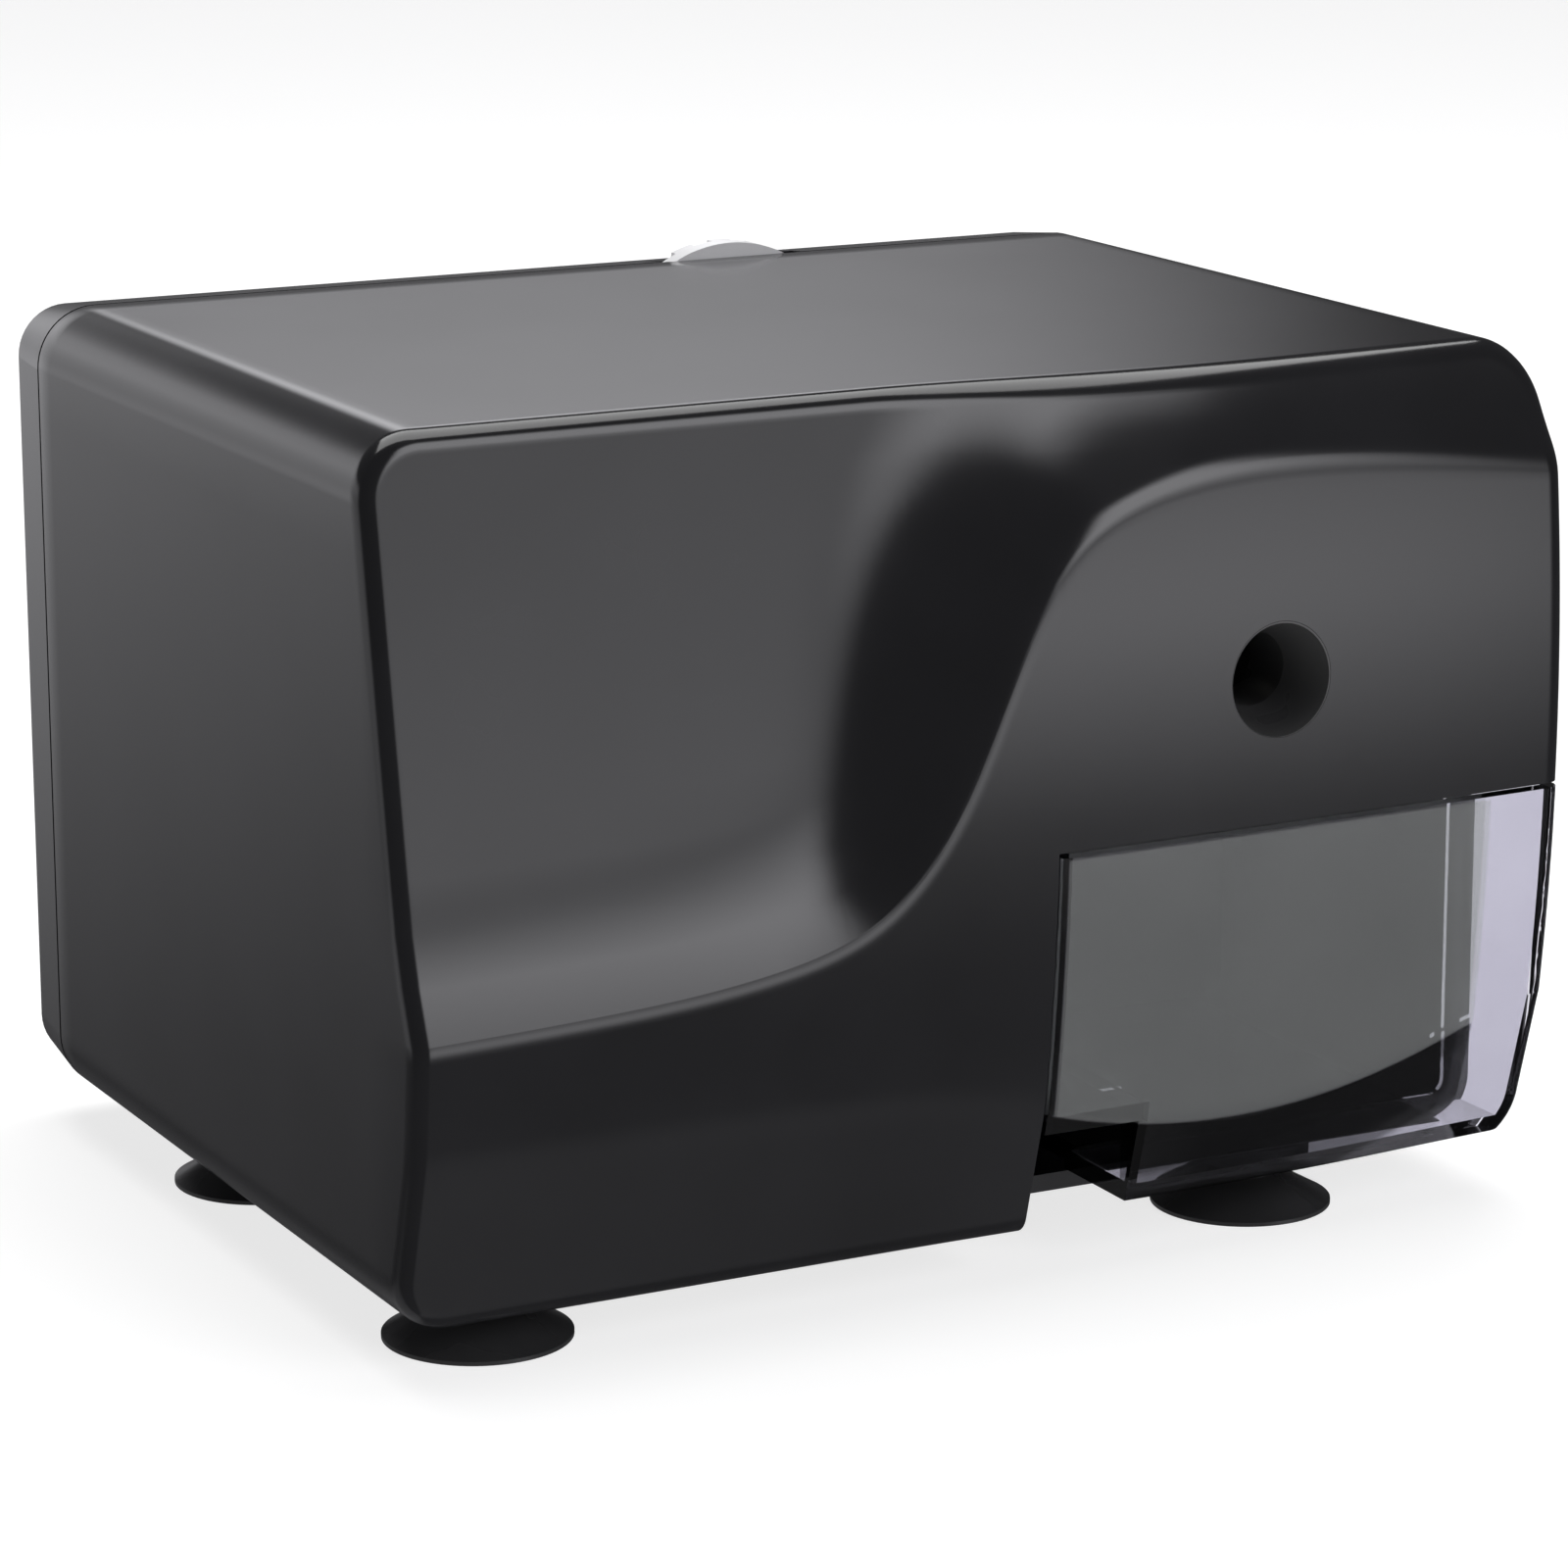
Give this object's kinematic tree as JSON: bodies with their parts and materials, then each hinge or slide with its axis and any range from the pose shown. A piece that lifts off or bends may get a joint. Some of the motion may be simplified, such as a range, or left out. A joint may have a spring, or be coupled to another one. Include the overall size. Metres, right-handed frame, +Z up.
{
  "type": "pencil sharpener",
  "caption": "Electric desktop pencil sharpener: rounded black case with a waved front, funnel entry, clear shavings drawer, rear dial, suction feet and a motor-driven helical cutter.",
  "frame": {"origin": "centre of the footprint on the surface that the suction feet stand on", "axes": "+X right seen from the front, +Y towards the back, +Z up; the pencil goes in along +Y"},
  "size_m": [0.14, 0.1158, 0.0997],
  "materials": {
    "case_black": "glossy black ABS with soft reflections",
    "guide_black": "polished black plastic funnel",
    "inner_black": "plain black moulding",
    "bin_clear": "clear smoke-violet styrene",
    "dial_grey": "light grey satin plastic",
    "foot_rubber": "soft black rubber with a low sheen",
    "frame_steel": "zinc-plated steel",
    "cage_metal": "die-cast alloy",
    "cutter_steel": "hardened tool steel",
    "gear_nylon": "natural acetal",
    "bush_bronze": "sintered bronze and brass",
    "motor_plastic": "glass-filled black nylon",
    "magnet": "ferrite",
    "copper": "enamelled copper and laminations",
    "board_green": "solder-masked board",
    "capacitor_blue": "printed sleeve without text",
    "switch_black": "switch body",
    "switch_red": "switch button",
    "lead_red": "insulated lead",
    "screw_steel": "plated screws"
  },
  "bodies": {
    "case": {"back_cover": "case_black", "base_plate": "inner_black", "base_screws": "screw_steel", "bin_bay": "inner_black", "bin_switch": "switch_black", "board_capacitor": "capacitor_blue", "board_header": "motor_plastic", "board_regulator": "capacitor_blue", "board_relay": "motor_plastic", "circuit_board": "board_green", "cover_screws": "screw_steel", "dc_jack": "motor_plastic", "dial_axle": "frame_steel", "foot_back_left": "foot_rubber", "foot_back_right": "foot_rubber", "foot_front_left": "foot_rubber", "foot_front_right": "foot_rubber", "frame_screws": "screw_steel", "gearbox_frame": "frame_steel", "gearbox_rear_plate": "frame_steel", "gearbox_screws": "screw_steel", "gearbox_standoffs": "frame_steel", "idler_shaft": "frame_steel", "main_housing": "case_black", "motor_can": "frame_steel", "motor_cradle": "inner_black", "motor_end_cap": "motor_plastic", "motor_leads": "lead_red", "motor_magnets": "magnet", "motor_screws": "screw_steel", "motor_terminals": "frame_steel", "pencil_guide": "guide_black", "power_leads": "lead_red", "ring_gear": "inner_black", "sense_pin": "frame_steel", "sense_spring": "cutter_steel", "sense_switch": "switch_black", "spindle_bush_front": "bush_bronze", "spindle_bush_rear": "bush_bronze"},
    "drawer": {"shavings_bin": "bin_clear"},
    "dial": {"adjust_dial": "dial_grey"},
    "stop_nut": {"stop_gear": "gear_nylon"},
    "stop": {"pencil_stop": "frame_steel"},
    "cage": {"cutter_carrier": "cage_metal", "drive_gear": "gear_nylon", "cutter_axle": "frame_steel"},
    "cutter": {"helical_cutter": "cutter_steel", "cutter_pinion": "cutter_steel"},
    "idler": {"idler_gear": "gear_nylon"},
    "rotor": {"motor_armature": "copper", "motor_shaft": "frame_steel", "motor_pinion": "bush_bronze"},
    "lever": {"sense_lever": "gear_nylon"},
    "button": {"sense_button": "switch_red"},
    "plunger": {"bin_switch_plunger": "switch_red"}
  },
  "joints": [
    {"name": "drawer_slide", "type": "slide", "parent": "case", "child": "drawer", "axis": [0, -1, 0], "range_m": [0, 0.055]},
    {"name": "dial_turn", "type": "hinge", "parent": "case", "child": "dial", "pos_m": [0.01854, 0.0482, 0.08365], "axis": [0, 1, 0], "range_deg": [-100, 100]},
    {"name": "stop_nut_turn", "type": "hinge", "parent": "case", "child": "stop_nut", "pos_m": [0.032, 0.044, 0.065], "axis": [0, 1, 0], "range_deg": [-77, 77]},
    {"name": "stop_slide", "type": "slide", "parent": "case", "child": "stop", "axis": [0, 1, 0], "range_m": [-0.00121, 0.00121]},
    {"name": "cage_spin", "type": "hinge", "parent": "case", "child": "cage", "pos_m": [0.032, 0, 0.065], "axis": [0, 1, 0], "continuous": true},
    {"name": "cutter_spin", "type": "hinge", "parent": "cage", "child": "cutter", "pos_m": [0.032, -0.0235, 0.07445], "axis": [0, 0.9829, -0.184], "continuous": true},
    {"name": "idler_spin", "type": "hinge", "parent": "case", "child": "idler", "pos_m": [0.006, 0.02, 0.065], "axis": [0, 1, 0], "continuous": true},
    {"name": "motor_spin", "type": "hinge", "parent": "case", "child": "rotor", "pos_m": [-0.018, 0, 0.065], "axis": [0, 1, 0], "continuous": true},
    {"name": "pencil_lever", "type": "hinge", "parent": "case", "child": "lever", "pos_m": [0.032, -0.044, 0.076], "axis": [1, 0, 0], "range_deg": [0, 20], "stiffness_Nm_per_rad": 0.003, "springref_deg": -8.59},
    {"name": "pencil_button", "type": "slide", "parent": "case", "child": "button", "axis": [0, 0, 1], "range_m": [0, 0.0014]},
    {"name": "drawer_plunger", "type": "slide", "parent": "case", "child": "plunger", "axis": [0, 1, 0], "range_m": [0, 0.0008], "stiffness_N_per_m": 150, "springref_m": -0.001}
  ],
  "couplings": [
    {"joint": "stop_nut_turn", "follows": "dial_turn", "ratio": -0.76923},
    {"joint": "stop_slide", "follows": "dial_turn", "m_per_rad": 0.00068755},
    {"joint": "cage_spin", "follows": "motor_spin", "ratio": 0.06},
    {"joint": "idler_spin", "follows": "motor_spin", "ratio": -0.2},
    {"joint": "cutter_spin", "follows": "motor_spin", "ratio": -0.20727},
    {"joint": "pencil_lever", "follows": "pencil_button", "rad_per_m": 250}
  ]
}
